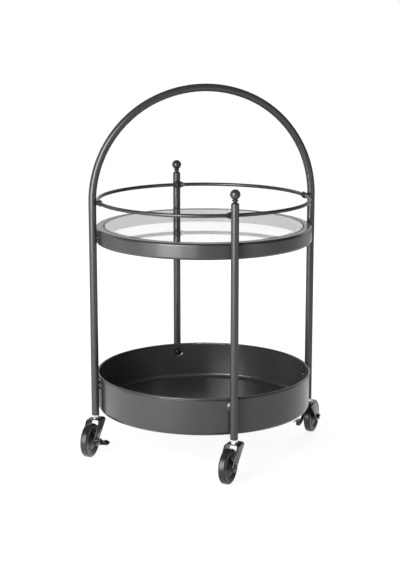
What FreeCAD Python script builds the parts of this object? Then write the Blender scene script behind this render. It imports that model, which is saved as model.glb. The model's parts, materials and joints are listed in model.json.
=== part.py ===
import FreeCAD
import Part
import math
import os
from FreeCAD import Vector

# Round two-tier serving cart on four swivel casters, in millimetres.
# The origin is on the floor under the middle of the cart. Z is up, the bent tube stands in the
# XZ plane, and the front post is on -Y. The names below are the driving dimensions: heights that
# end in _H are measured from the foot of the uprights, which the caster stack sets.

# Uprights: one bent tube is both legs and the arch, and two straight tubes are the posts
TUBE_D = 16.8
TUBE_WALL = 1.2
TUBE_END_CHAMFER = 0.5
UPRIGHT_CIRCLE_R = 248.5
ARCH_ABOVE_RAIL = 1.4
ARCH_SHOULDER_R_SHARE = 0.967
ARCH_SHOULDER_DEG = 66.0
POST_ABOVE_RAIL = 24.5

# Turned cap on each post, and the ball that screws into it
CAP_SPIGOT_L = 12.0
CAP_SHOULDER_R = 2.0
CAP_CONE_H = 5.2
NECK_D = 6.6
NECK_H = 2.4
COLLAR_D = 14.0
COLLAR_TOP_D = 9.0
COLLAR_EDGE = 0.9
COLLAR_H = 3.4
BALL_D = 21.5
BALL_SINK = 0.9
FINIAL_STUD_D = 4.0
FINIAL_STUD_L = 9.0

# Gallery rail: a bent rod, pressed flat and drilled at each upright
RAIL_ABOVE_FRAME = 57.3
RAIL_D = 8.0
RAIL_INSIDE_UPRIGHTS = 16.0
EYE_THICKNESS = 3.2
EYE_HEIGHT = 15.0
EYE_MARGIN = 0.6
EYE_TAPER_L = 8.0
RAIL_SPACER_D = 10.0

# Shelf frame: a rolled rectangular tube with a welded ledge that carries the glass
FRAME_TOP_H = 417.0
FRAME_HEIGHT = 34.3
FRAME_WIDTH = 17.5
FRAME_WALL = 1.2
FRAME_OUTER_CORNER_R = 5.2
FRAME_INNER_CORNER_R = 1.8
FRAME_UPRIGHT_GAP = 1.6
FRAME_SCREW_ABOVE_BASE = 17.0
FRAME_SPACER_D = 13.0
LEDGE_WIDTH = 16.0
LEDGE_T = 2.0

# Glass shelf on clear pads
GLASS_T = 5.0
GLASS_RECESS = 0.2
GLASS_EDGE_GAP = 2.4
GLASS_EDGE_CHAMFER = 0.8
PAD_D = 9.0
PAD_T = 1.2
PAD_COUNT = 8
PAD_FIRST_ANGLE_SHARE = 0.5

# Tray: drawn sheet with a rolled rim, and a dimple pressed out to meet each upright
TRAY_UNDERSIDE_H = 5.3
TRAY_DEPTH = 83.5
TRAY_SHEET = 1.0
TRAY_CORNER_R = 9.0
TRAY_RIM_D = 5.0
TRAY_RIM_UPRIGHT_GAP = 0.5
TRAY_SCREW_BELOW_RIM = 21.0
DIMPLE_MOUTH_D = 24.0
DIMPLE_FLAT_D = 16.0

# Dome screws driven from the inside, their washers, and the rivet nuts in the uprights
SCREW_D = 5.0
SCREW_HEAD_D = 11.0
SCREW_HEAD_H = 3.8
SCREW_HEAD_ROUND = 3.4
SOCKET_AF = 3.0
SOCKET_DEPTH = 2.0
SCREW_HOLE_PLAY = 0.25
SCREW_PAST_WALL = 7.0
WASHER_D = 13.0
WASHER_T = 0.8
NUT_SLEEVE_D = 7.0
NUT_COLLAR_D = 9.6
NUT_COLLAR_T = 2.2
NUT_SLEEVE_L = 10.5

# Casters: stem, nut and washer belong to the leg, and the fork swivels below them
WHEEL_D = 75.0
CROWN_GAP = 2.8
CASTER_TRAIL = 31.0
SWIVEL_PLAY = 0.1
JOURNAL_CLEARANCE = 0.05
STEM_D = 8.0
STEM_IN_LEG = 18.0
STEM_NUT_AF = 14.0
STEM_NUT_H = 5.6
STEM_NUT_CHAMFER = 0.7
THRUST_WASHER_D = 18.0
THRUST_WASHER_T = 1.0
STEM_RIVET_D = 13.0
STEM_RIVET_H = 2.0
INSERT_L = 24.0

# Fork: one plate folded over the wheel, with sides that lean back to the axle
FORK_OUTER_W = 32.0
FORK_T = 2.5
FORK_BEND_R = 6.0
CROWN_LEAD = 9.5
CROWN_REAR = 13.0
KNEE_LEAD = 8.0
KNEE_LEAD_DROP = 14.5
KNEE_REAR = 22.0
KNEE_REAR_DROP = 16.5
FORK_CORNER_R = 4.5
FORK_KNEE_R = 12.0
FORK_BOSS_R = 8.5

# Axle bolt with its sleeve and nut
AXLE_D = 6.0
AXLE_HEAD_D = 11.0
AXLE_HEAD_H = 2.6
AXLE_HEAD_ROUND = 1.2
AXLE_RECESS_D = 4.6
AXLE_RECESS_DEPTH = 1.6
AXLE_NUT_AF = 10.0
AXLE_NUT_H = 4.0
SLEEVE_WALL = 1.2

# Wheel and tyre
TYRE_W = 16.0
TYRE_T = 8.0
TYRE_SHOULDER_R = 6.0
TYRE_LIP_R = 1.5
HUB_D = 19.0
HUB_W = 25.0
HUB_EDGE_R = 1.2
WEB_D = 50.0
WEB_W = 9.0
WEB_DISH = 3.0
RIM_W = 13.0
RIM_EDGE_R = 0.8

# Brake on the two casters under the arch: a pedal lever that turns about the axle
LEVER_T = 2.0
LEVER_GAP = 0.3
LEVER_DISC_R = 9.5
LEVER_ARM_REACH = 23.0
LEVER_ARM_DROP = 11.0
LEVER_ARM_R = 5.5
CAM_D = 17.0
CAM_T = 1.2
CAM_NOTCH_D = 3.0
PEDAL_W = 14.5
PEDAL_L = 17.0
PEDAL_T = 2.4
PEDAL_RISE = 1.8
PEDAL_FALL = 3.4
PEDAL_DROP = 8.0
PEDAL_START = 14.0
PEDAL_LIP_W = 8.0
PEDAL_LIP_H = 9.0
LEVER_TURN_DEG = 25.0

# Rest direction of each caster's trail, in degrees from +X, as the cart stands in the picture
TRAIL_DEG = {"left": -125.0, "right": 53.5, "front": -129.0, "rear": 46.0}
LEG_DEG = {"left": 180.0, "right": 0.0, "front": -90.0, "rear": 90.0}
BRAKED = ("left", "right")

# One overrun for every cut that has to pass right through
OVERRUN = 5.0
# A rounded corner takes at most this share of the shorter side beside it
CORNER_LIMIT_SHARE = 0.49

# Heights and radii that follow from the values above
tube_r = TUBE_D / 2
bore_r = tube_r - TUBE_WALL
near_wall_r = UPRIGHT_CIRCLE_R - tube_r
axle_z = WHEEL_D / 2
crown_under_z = WHEEL_D + CROWN_GAP
crown_top_z = crown_under_z + FORK_T
thrust_z = crown_top_z + SWIVEL_PLAY
stem_nut_z = thrust_z + THRUST_WASHER_T
foot_z = stem_nut_z + STEM_NUT_H
frame_top_z = foot_z + FRAME_TOP_H
rail_z = frame_top_z + RAIL_ABOVE_FRAME
rail_circle_r = UPRIGHT_CIRCLE_R - RAIL_INSIDE_UPRIGHTS
arch_z = rail_z + ARCH_ABOVE_RAIL
arch_shoulder_r = UPRIGHT_CIRCLE_R * ARCH_SHOULDER_R_SHARE
arch_shoulder_x = UPRIGHT_CIRCLE_R - arch_shoulder_r
arch_crown_drop = arch_shoulder_x * math.tan(math.radians(ARCH_SHOULDER_DEG))
post_top_z = rail_z + POST_ABOVE_RAIL
frame_base_z = frame_top_z - FRAME_HEIGHT
frame_screw_z = frame_base_z + FRAME_SCREW_ABOVE_BASE
frame_outer_r = near_wall_r - FRAME_UPRIGHT_GAP
frame_inner_r = frame_outer_r - FRAME_WIDTH
glass_top_z = frame_top_z - GLASS_RECESS
glass_base_z = glass_top_z - GLASS_T
ledge_top_z = glass_base_z - PAD_T
ledge_base_z = ledge_top_z - LEDGE_T
ledge_inner_r = frame_inner_r - LEDGE_WIDTH
tray_base_z = foot_z + TRAY_UNDERSIDE_H
tray_floor_z = tray_base_z + TRAY_SHEET
tray_top_z = tray_base_z + TRAY_DEPTH
tray_screw_z = tray_top_z - TRAY_SCREW_BELOW_RIM
tray_rim_r = near_wall_r - TRAY_RIM_UPRIGHT_GAP
tray_outer_r = tray_rim_r - TRAY_RIM_D / 2
tray_inner_r = tray_outer_r - TRAY_SHEET
screw_r = SCREW_D / 2
screw_hole_r = screw_r + SCREW_HOLE_PLAY
screw_tip_r = near_wall_r + TUBE_WALL + SCREW_PAST_WALL
nut_sleeve_r = NUT_SLEEVE_D / 2
eye_flat_l = SCREW_HEAD_D + 2 * EYE_MARGIN
eye_turn = math.asin((eye_flat_l / 2 + EYE_TAPER_L) / rail_circle_r)
frame_seat_r = math.sqrt(frame_inner_r ** 2 - (SCREW_HEAD_D / 2) ** 2)
fork_inner_w = FORK_OUTER_W - 2 * FORK_T
sleeve_r = AXLE_D / 2 + SLEEVE_WALL
wheel_bore_r = sleeve_r + JOURNAL_CLEARANCE
rim_r = WHEEL_D / 2 - TYRE_T
lever_y = FORK_OUTER_W / 2 + CAM_T + LEVER_GAP
lever_out_y = lever_y + LEVER_T

X_AXIS = Vector(1, 0, 0)
Y_AXIS = Vector(0, 1, 0)
Z_AXIS = Vector(0, 0, 1)
ORIGIN = Vector(0, 0, 0)


def in_xz(a, b):
    """Point of an outline drawn in the XZ plane."""
    return Vector(a, 0, b)


def in_yz(a, b):
    """Point of an outline drawn in the YZ plane."""
    return Vector(0, a, b)


def outline(corners, plane=in_xz):
    """Closed face through corners (a, b) or (a, b, radius), each radius blended by an arc."""
    points = [plane(c[0], c[1]) for c in corners]
    radii = [c[2] if len(c) > 2 else 0 for c in corners]
    count = len(points)
    cuts = []
    for i, here in enumerate(points):
        to_prev = points[i - 1] - here
        to_next = points[(i + 1) % count] - here
        if radii[i] == 0:
            cuts.append((here, None, here))
            continue
        half = to_prev.getAngle(to_next) / 2
        limit = CORNER_LIMIT_SHARE * min(to_prev.Length, to_next.Length)
        reach = min(radii[i] / math.tan(half), limit)
        radius = reach * math.tan(half)
        to_prev.normalize()
        to_next.normalize()
        inward = to_prev + to_next
        inward.normalize()
        centre = here + inward * (radius / math.sin(half))
        cuts.append((here + to_prev * reach, centre - inward * radius, here + to_next * reach))
    edges = []
    for i, (start, middle, end) in enumerate(cuts):
        if middle is not None:
            edges.append(Part.Arc(start, middle, end).toShape())
        edges.append(Part.LineSegment(end, cuts[(i + 1) % count][0]).toShape())
    return Part.Face(Part.Wire(edges))


def turned(corners):
    """Solid of revolution about Z from an outline given as (radius, z, corner radius)."""
    return outline(corners).revolve(ORIGIN, Z_AXIS, 360)


def rod(radius, start, end):
    """Cylinder along Z from height start to height end."""
    return Part.makeCylinder(radius, end - start, Vector(0, 0, start))


def ring(inner_r, outer_r, start, end):
    """Flat ring or pipe about Z between two heights."""
    return rod(outer_r, start, end).cut(rod(inner_r, start - OVERRUN, end + OVERRUN))


def hexagon(across_flats, start, end):
    """Hexagonal bar about Z between two heights."""
    corner_r = across_flats / math.sqrt(3)
    points = []
    for step in range(7):
        angle = math.radians(60 * step)
        points.append(Vector(corner_r * math.cos(angle), corner_r * math.sin(angle), start))
    return Part.Face(Part.makePolygon(points)).extrude(Vector(0, 0, end - start))


def outward(shape, z):
    """Lay a piece made along Z onto the radial line of the upright on +X at height z."""
    laid = shape.copy()
    laid.rotate(ORIGIN, Y_AXIS, 90)
    laid.translate(Vector(0, 0, z))
    return laid


def at_legs(shape):
    """Copies of a piece made for the upright on +X, one at each upright."""
    copies = []
    for angle in LEG_DEG.values():
        piece = shape.copy()
        piece.rotate(ORIGIN, Z_AXIS, angle)
        copies.append(piece)
    return copies


def group(shapes):
    """Separate solids kept together in one node."""
    return Part.makeCompound(shapes)


def hex_nut(across_flats, bore_d, height, chamfer):
    """Nut about Z with its base at zero and both faces turned to a cone."""
    corner_r = across_flats / math.sqrt(3)
    blank = hexagon(across_flats, 0, height)
    envelope = turned([(0, 0), (corner_r - chamfer, 0), (corner_r, chamfer),
                       (corner_r, height - chamfer), (corner_r - chamfer, height), (0, height)])
    return blank.common(envelope).cut(rod(bore_d / 2, -OVERRUN, height + OVERRUN))


def upright_holes(heights):
    """Cutters for the rivet-nut holes in the near wall of the upright on +X."""
    return [outward(rod(nut_sleeve_r, near_wall_r - OVERRUN, UPRIGHT_CIRCLE_R), z) for z in heights]


def drilled(tube, angles):
    """Tube with its rivet-nut holes cut, for uprights at the given angles."""
    for angle in angles:
        for cutter in upright_holes((rail_z, frame_screw_z, tray_screw_z)):
            cutter.rotate(ORIGIN, Z_AXIS, angle)
            tube = tube.cut(cutter)
    return tube


def foot_chamfer(x):
    """Ring cut off the outer edge of a tube's lower end, for a tube standing at x."""
    edge_r = tube_r - TUBE_END_CHAMFER
    cutter = turned([(edge_r, 0), (tube_r + OVERRUN, 0), (tube_r + OVERRUN, TUBE_END_CHAMFER),
                     (tube_r, TUBE_END_CHAMFER)])
    cutter.translate(Vector(x, 0, foot_z))
    return cutter


def arch_rod(radius):
    """Solid rod that follows both legs, the two shoulder bends and the flatter crown bend."""
    start = Part.Face(Part.Wire(Part.makeCircle(radius, Vector(UPRIGHT_CIRCLE_R, 0, arch_z))))
    shoulder_centre = Vector(arch_shoulder_x, 0, arch_z)
    crown_start = start.copy()
    crown_start.rotate(shoulder_centre, Y_AXIS, -ARCH_SHOULDER_DEG)
    crown_centre = Vector(0, 0, arch_z - arch_crown_drop)
    bent = crown_start.revolve(crown_centre, Y_AXIS, -2 * (90 - ARCH_SHOULDER_DEG))
    leg = rod(radius, foot_z, arch_z)
    leg.translate(Vector(UPRIGHT_CIRCLE_R, 0, 0))
    for piece in (start.revolve(shoulder_centre, Y_AXIS, -ARCH_SHOULDER_DEG), leg):
        bent = bent.fuse(piece).fuse(piece.mirror(ORIGIN, X_AXIS))
    return bent.removeSplitter()


def arch_tube():
    """Both legs and the arched handle, bent from one tube."""
    tube = arch_rod(tube_r).cut(arch_rod(bore_r))
    for x in (UPRIGHT_CIRCLE_R, -UPRIGHT_CIRCLE_R):
        tube = tube.cut(foot_chamfer(x))
    return drilled(tube, (LEG_DEG["left"], LEG_DEG["right"]))


def post(name):
    """Straight tube of the front or rear post."""
    tube = ring(bore_r, tube_r, foot_z, post_top_z)
    tube.translate(Vector(UPRIGHT_CIRCLE_R, 0, 0))
    tube = drilled(tube.cut(foot_chamfer(UPRIGHT_CIRCLE_R)), (0,))
    tube.rotate(ORIGIN, Z_AXIS, LEG_DEG[name])
    return tube


def on_posts(shape):
    """Copies of a piece made about Z, one on top of each post."""
    copies = []
    for y in (-UPRIGHT_CIRCLE_R, UPRIGHT_CIRCLE_R):
        piece = shape.copy()
        piece.translate(Vector(0, y, post_top_z))
        copies.append(piece)
    return copies


def post_caps():
    """Turned caps: a spigot in the tube, a rounded shoulder, a cone and the neck."""
    neck_r = NECK_D / 2
    top = CAP_CONE_H + NECK_H
    cap = turned([(0, -CAP_SPIGOT_L), (bore_r, -CAP_SPIGOT_L), (bore_r, 0), (tube_r, 0),
                  (tube_r, CAP_SHOULDER_R, CAP_SHOULDER_R), (neck_r, CAP_CONE_H), (neck_r, top), (0, top)])
    return group(on_posts(cap.cut(rod(FINIAL_STUD_D / 2, top - FINIAL_STUD_L, top + OVERRUN))))


def finials():
    """Ball finials: a stud, a flared collar and the ball."""
    base = CAP_CONE_H + NECK_H
    collar_top = base + COLLAR_H
    collar = turned([(0, base), (COLLAR_D / 2, base), (COLLAR_D / 2, base + COLLAR_EDGE),
                     (COLLAR_TOP_D / 2, collar_top), (0, collar_top)])
    ball = Part.makeSphere(BALL_D / 2, Vector(0, 0, collar_top + BALL_D / 2 - BALL_SINK))
    stud = rod(FINIAL_STUD_D / 2, base - FINIAL_STUD_L, collar_top)
    return group(on_posts(ball.fuse(collar).fuse(stud)))


def rail_section(at, direction, half_thick, half_high):
    """Four-edged section of the rail: flat sides joined by arcs, or a circle when both halves match."""
    across = direction.cross(Z_AXIS)
    flat = half_high - half_thick
    spread = half_thick * math.sqrt(0.5)

    def point(side, up):
        return at + across * side + Z_AXIS * up

    if flat > 0:
        edges = [Part.LineSegment(point(half_thick, -flat), point(half_thick, flat)),
                 Part.Arc(point(half_thick, flat), point(0, half_high), point(-half_thick, flat)),
                 Part.LineSegment(point(-half_thick, flat), point(-half_thick, -flat)),
                 Part.Arc(point(-half_thick, -flat), point(0, -half_high), point(half_thick, -flat))]
    else:
        edges = [Part.Arc(point(spread, -spread), point(half_thick, 0), point(spread, spread)),
                 Part.Arc(point(spread, spread), point(0, half_high), point(-spread, spread)),
                 Part.Arc(point(-spread, spread), point(-half_thick, 0), point(-spread, -spread)),
                 Part.Arc(point(-spread, -spread), point(0, -half_high), point(spread, -spread))]
    return Part.Wire([edge.toShape() for edge in edges])


def rail_eye():
    """Stretch of the rail that is pressed flat beside the upright on +X, without its hole."""
    half_flat = eye_flat_l / 2
    turn = eye_turn
    pieces = []
    flats = []
    for side in (-1, 1):
        direction = Vector(-side * math.sin(turn), math.cos(turn), 0)
        start = Vector(rail_circle_r * math.cos(turn), side * rail_circle_r * math.sin(turn), rail_z)
        flat_end = Vector(rail_circle_r, side * half_flat, rail_z)
        round_section = rail_section(start, direction, RAIL_D / 2, RAIL_D / 2)
        flat_section = rail_section(flat_end, Y_AXIS, EYE_THICKNESS / 2, EYE_HEIGHT / 2)
        pieces.append(Part.makeLoft([round_section, flat_section], True, True))
        flats.append(flat_section)
    pieces.append(Part.makeLoft(flats, True, True))
    return pieces[0].fuse(pieces[1]).fuse(pieces[2])


def rail_arc():
    """Quarter of the round rod, from the eye at +X to the eye at +Y."""
    turn_deg = math.degrees(eye_turn)
    section = Part.Face(Part.Wire(Part.makeCircle(RAIL_D / 2, Vector(rail_circle_r, 0, rail_z), Y_AXIS)))
    section.rotate(ORIGIN, Z_AXIS, turn_deg)
    return section.revolve(ORIGIN, Z_AXIS, 90 - 2 * turn_deg)


def gallery_rail():
    """Ring rail above the glass, with a drilled eye at each upright."""
    rail = None
    for piece in at_legs(rail_eye()) + at_legs(rail_arc()):
        rail = piece if rail is None else rail.fuse(piece)
    hole = rod(screw_hole_r, rail_circle_r - EYE_THICKNESS - OVERRUN, rail_circle_r + EYE_THICKNESS + OVERRUN)
    for cutter in at_legs(outward(hole, rail_z)):
        rail = rail.cut(cutter)
    return rail


def saddle_spacers(diameter, inner_limit, z):
    """Tubular spacers between an inner surface and the round side of each upright."""
    blank = rod(diameter / 2, inner_limit, UPRIGHT_CIRCLE_R).cut(rod(nut_sleeve_r, 0, UPRIGHT_CIRCLE_R + OVERRUN))
    upright = rod(tube_r, z - diameter, z + diameter)
    upright.translate(Vector(UPRIGHT_CIRCLE_R, 0, 0))
    return outward(blank, z).cut(upright)


def gallery_spacers():
    """Spacers that hold the rail's eyes off the uprights, hollowed to the tube where it bends."""
    spacers = at_legs(saddle_spacers(RAIL_SPACER_D, rail_circle_r + EYE_THICKNESS / 2, rail_z))
    arch = arch_rod(tube_r)
    return group([spacer.cut(arch) for spacer in spacers])


def shelf_spacers():
    """Thin saddles between the shelf frame and the uprights."""
    blank = saddle_spacers(FRAME_SPACER_D, frame_outer_r - OVERRUN, frame_screw_z)
    frame = rod(frame_outer_r, frame_base_z, frame_top_z)
    return group(at_legs(blank.cut(frame)))


def dome_screws(seat_r, z):
    """Dome-head screws along the radial line, heads on the inside, seated at radius seat_r."""
    head_r = SCREW_HEAD_D / 2
    apex = seat_r - SCREW_HEAD_H
    head = turned([(0, apex), (head_r, apex, SCREW_HEAD_ROUND), (head_r, seat_r), (0, seat_r)])
    screw = head.fuse(rod(screw_r, seat_r, screw_tip_r))
    screw = screw.cut(hexagon(SOCKET_AF, apex - OVERRUN, apex + SOCKET_DEPTH))
    return group(at_legs(outward(screw, z)))


def rivet_nuts():
    """Rivet nuts in the uprights, flush outside, with a collar upset against the bore."""
    nuts = []
    bore = rod(bore_r, foot_z, post_top_z)
    bore.translate(Vector(UPRIGHT_CIRCLE_R, 0, 0))
    for z in (rail_z, frame_screw_z, tray_screw_z):
        collar_start = near_wall_r + TUBE_WALL
        collar = outward(rod(NUT_COLLAR_D / 2, near_wall_r, collar_start + NUT_COLLAR_T), z).common(bore)
        sleeve = outward(rod(nut_sleeve_r, near_wall_r, near_wall_r + NUT_SLEEVE_L), z)
        thread = outward(rod(screw_r, near_wall_r - OVERRUN, UPRIGHT_CIRCLE_R + TUBE_D), z)
        nuts.extend(at_legs(sleeve.fuse(collar).cut(thread)))
    return group(nuts)


def shelf_frame():
    """Rolled rectangular tube with rounded edges, drilled right through at each upright."""
    def box_section(inset):
        near, far = max(FRAME_INNER_CORNER_R - inset, 0), max(FRAME_OUTER_CORNER_R - inset, 0)
        low_r, high_r = frame_inner_r + inset, frame_outer_r - inset
        low_z, high_z = frame_base_z + inset, frame_top_z - inset
        return [(low_r, low_z, near), (high_r, low_z, far), (high_r, high_z, far), (low_r, high_z, near)]

    frame = turned(box_section(0)).cut(turned(box_section(FRAME_WALL)))
    hole = outward(rod(screw_hole_r, frame_inner_r - OVERRUN, frame_outer_r + OVERRUN), frame_screw_z)
    for cutter in at_legs(hole):
        frame = frame.cut(cutter)
    return frame


def glass_ledge():
    """Flat ring welded inside the frame."""
    return ring(ledge_inner_r, frame_inner_r, ledge_base_z, ledge_top_z)


def glass_pads():
    """Clear pads on the ledge under the glass."""
    pads = []
    step = 360 / PAD_COUNT
    for index in range(PAD_COUNT):
        pad = rod(PAD_D / 2, ledge_top_z, glass_base_z)
        pad.translate(Vector(frame_inner_r - LEDGE_WIDTH / 2, 0, 0))
        pad.rotate(ORIGIN, Z_AXIS, step * (index + PAD_FIRST_ANGLE_SHARE))
        pads.append(pad)
    return group(pads)


def glass_top():
    """Round sheet of glass with ground edges."""
    edge_r = frame_inner_r - GLASS_EDGE_GAP
    flat_r = edge_r - GLASS_EDGE_CHAMFER
    return turned([(0, glass_base_z), (flat_r, glass_base_z), (edge_r, glass_base_z + GLASS_EDGE_CHAMFER),
                   (edge_r, glass_top_z - GLASS_EDGE_CHAMFER), (flat_r, glass_top_z), (0, glass_top_z)])


def dimple(shrink, flat_at, mouth_at):
    """Cone of a pressed dimple along the radial line, smaller by shrink than its outside."""
    flat_r = DIMPLE_FLAT_D / 2 - shrink
    mouth_r = DIMPLE_MOUTH_D / 2 - shrink
    depth = flat_at - mouth_at
    spread = (mouth_r - flat_r) / depth
    start_r = mouth_r + spread * TRAY_SHEET
    cone = Part.makeCone(start_r, flat_r, depth + TRAY_SHEET, Vector(0, 0, mouth_at - TRAY_SHEET))
    return outward(cone, tray_screw_z)


def tray():
    """Drawn tray with a rolled rim and a dimple pressed out at each upright."""
    rim_z = tray_top_z - TRAY_RIM_D / 2
    shell = turned([(0, tray_base_z), (tray_outer_r, tray_base_z, TRAY_CORNER_R), (tray_outer_r, rim_z),
                    (tray_inner_r, rim_z), (tray_inner_r, tray_floor_z, TRAY_CORNER_R - TRAY_SHEET),
                    (0, tray_floor_z)])
    bead = Part.makeTorus(tray_outer_r, TRAY_RIM_D / 2, Vector(0, 0, rim_z))
    for outer in at_legs(dimple(0, near_wall_r, tray_outer_r)):
        shell = shell.fuse(outer)
    for inner in at_legs(dimple(TRAY_SHEET, near_wall_r - TRAY_SHEET, tray_inner_r)):
        shell = shell.cut(inner)
    hole = outward(rod(screw_hole_r, tray_inner_r - OVERRUN, near_wall_r + OVERRUN), tray_screw_z)
    for cutter in at_legs(hole):
        shell = shell.cut(cutter)
    return shell.fuse(bead)


def tray_washers():
    """Washers under the tray's screw heads, seated in the dimples."""
    seat = near_wall_r - TRAY_SHEET
    washer = outward(ring(screw_r, WASHER_D / 2, seat - WASHER_T, seat), tray_screw_z)
    return group(at_legs(washer))


def under_legs(shape):
    """Copies of a piece made about Z, one under each upright."""
    piece = shape.copy()
    piece.translate(Vector(UPRIGHT_CIRCLE_R, 0, 0))
    return group(at_legs(piece))


def leg_inserts():
    """Threaded plugs pressed into the feet of the uprights."""
    return under_legs(ring(STEM_D / 2, bore_r, foot_z, foot_z + INSERT_L))


def caster_stems():
    """Stems: a threaded end in the leg, a journal for the fork and a riveted head below it."""
    stem_r = STEM_D / 2
    head_top = crown_under_z - SWIVEL_PLAY
    head = turned([(0, head_top - STEM_RIVET_H), (STEM_RIVET_D / 2, head_top - STEM_RIVET_H, STEM_RIVET_H),
                   (STEM_RIVET_D / 2, head_top), (0, head_top)])
    return under_legs(head.fuse(rod(stem_r, head_top, foot_z + STEM_IN_LEG)))


def stem_nuts():
    """Plated nuts that lock the stems against the feet."""
    nut = hex_nut(STEM_NUT_AF, STEM_D, STEM_NUT_H, STEM_NUT_CHAMFER)
    nut.translate(Vector(0, 0, stem_nut_z))
    return under_legs(nut)


def thrust_washers():
    """Washers on which the forks turn."""
    return under_legs(ring(STEM_D / 2, THRUST_WASHER_D / 2, thrust_z, stem_nut_z))


def lay_axle(shape):
    """Lay a piece made about Z onto the axle line, its Z along +Y of the caster."""
    laid = shape.copy()
    laid.rotate(ORIGIN, X_AXIS, -90)
    laid.translate(Vector(CASTER_TRAIL, 0, axle_z))
    return laid


def tangent_point(corner, centre, radius, side):
    """Point where a line from corner touches a circle, on the given side (1 or -1)."""
    reach = Vector(corner[0] - centre[0], corner[1] - centre[1], 0)
    angle = math.atan2(reach.y, reach.x) + side * math.acos(radius / reach.Length)
    return (centre[0] + radius * math.cos(angle), centre[1] + radius * math.sin(angle), angle)


def fork():
    """Folded fork: a U section over the wheel, trimmed to the leaning side outline."""
    half_out, half_in = FORK_OUTER_W / 2, fork_inner_w / 2
    low = axle_z - FORK_BOSS_R - OVERRUN
    inner_bend = max(FORK_BEND_R - FORK_T, 0)
    section = outline([(-half_out, low), (-half_out, crown_top_z, FORK_BEND_R), (half_out, crown_top_z, FORK_BEND_R),
                       (half_out, low), (half_in, low), (half_in, crown_under_z, inner_bend),
                       (-half_in, crown_under_z, inner_bend), (-half_in, low)], in_yz)
    length = CROWN_LEAD + CASTER_TRAIL + FORK_BOSS_R + 2 * OVERRUN
    section.translate(Vector(-CROWN_LEAD - OVERRUN, 0, 0))
    folded = section.extrude(Vector(length, 0, 0))

    axle = (CASTER_TRAIL, axle_z)
    rear_knee = (KNEE_REAR, crown_top_z - KNEE_REAR_DROP)
    lead_knee = (-KNEE_LEAD, crown_top_z - KNEE_LEAD_DROP)
    rear = tangent_point(rear_knee, axle, FORK_BOSS_R, -1)
    lead = tangent_point(lead_knee, axle, FORK_BOSS_R, 1)
    side = outline([(-CROWN_LEAD, crown_top_z, FORK_CORNER_R), (CROWN_REAR, crown_top_z, FORK_CORNER_R),
                    rear_knee + (FORK_KNEE_R,), rear[:2], lead[:2], lead_knee + (FORK_KNEE_R,)])
    boss = Part.Face(Part.Wire(Part.makeCircle(FORK_BOSS_R, Vector(CASTER_TRAIL, 0, axle_z), Y_AXIS)))
    width = Vector(0, FORK_OUTER_W + 2 * OVERRUN, 0)
    trimmer = side.extrude(width).fuse(boss.extrude(width))
    trimmer.translate(Vector(0, -FORK_OUTER_W / 2 - OVERRUN, 0))
    body = folded.common(trimmer).removeSplitter()
    body = body.cut(rod(STEM_D / 2 + JOURNAL_CLEARANCE, crown_under_z - OVERRUN, crown_top_z + OVERRUN))
    return body.cut(lay_axle(rod(AXLE_D / 2, -FORK_OUTER_W, FORK_OUTER_W)))


def axle(braked):
    """Axle bolt through the fork, with a recess in its round head."""
    seat = (lever_out_y + LEVER_GAP) if braked else FORK_OUTER_W / 2
    head_r = AXLE_HEAD_D / 2
    top = seat + AXLE_HEAD_H
    head = turned([(0, seat), (head_r, seat), (head_r, top, AXLE_HEAD_ROUND), (0, top)])
    bolt = head.fuse(rod(AXLE_D / 2, -FORK_OUTER_W / 2 - AXLE_NUT_H, seat))
    return lay_axle(bolt.cut(rod(AXLE_RECESS_D / 2, top - AXLE_RECESS_DEPTH, top + OVERRUN)))


def axle_nut():
    """Nut on the far side of the fork."""
    nut = hex_nut(AXLE_NUT_AF, AXLE_D, AXLE_NUT_H, STEM_NUT_CHAMFER)
    nut.translate(Vector(0, 0, -FORK_OUTER_W / 2 - AXLE_NUT_H))
    return lay_axle(nut)


def axle_sleeve():
    """Sleeve between the fork's sides, on which the wheel runs."""
    return lay_axle(ring(AXLE_D / 2, sleeve_r, -fork_inner_w / 2, fork_inner_w / 2))


def wheel():
    """Wheel: hub, dished web and rim in one moulding."""
    def half(sign):
        return [(wheel_bore_r, sign * HUB_W / 2), (HUB_D / 2, sign * HUB_W / 2, HUB_EDGE_R),
                (HUB_D / 2 + WEB_DISH, sign * (WEB_W / 2 + WEB_DISH), WEB_DISH),
                (WEB_D / 2, sign * WEB_W / 2), (WEB_D / 2, sign * RIM_W / 2, RIM_EDGE_R),
                (rim_r, sign * RIM_W / 2)]
    upper = half(1)
    lower = half(-1)
    return lay_axle(turned(lower + upper[::-1]))


def tyre():
    """Soft tread with rounded shoulders, moulded on the rim."""
    half_w = TYRE_W / 2
    outer_r = WHEEL_D / 2
    blank = turned([(rim_r, -half_w, TYRE_LIP_R), (outer_r, -half_w, TYRE_SHOULDER_R),
                    (outer_r, half_w, TYRE_SHOULDER_R), (rim_r, half_w, TYRE_LIP_R)])
    return lay_axle(blank)


def brake_cam():
    """Cam disc fixed to the fork's side, with notches for the released and locked places."""
    disc = ring(AXLE_D / 2, CAM_D / 2, FORK_OUTER_W / 2, FORK_OUTER_W / 2 + CAM_T)
    for angle in (0, LEVER_TURN_DEG):
        notch = rod(CAM_NOTCH_D / 2, FORK_OUTER_W / 2 - OVERRUN, FORK_OUTER_W / 2 + CAM_T + OVERRUN)
        notch.translate(Vector(CAM_D / 2, 0, 0))
        notch.rotate(ORIGIN, Z_AXIS, 90 + angle)
        disc = disc.cut(notch)
    return lay_axle(disc)


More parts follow.
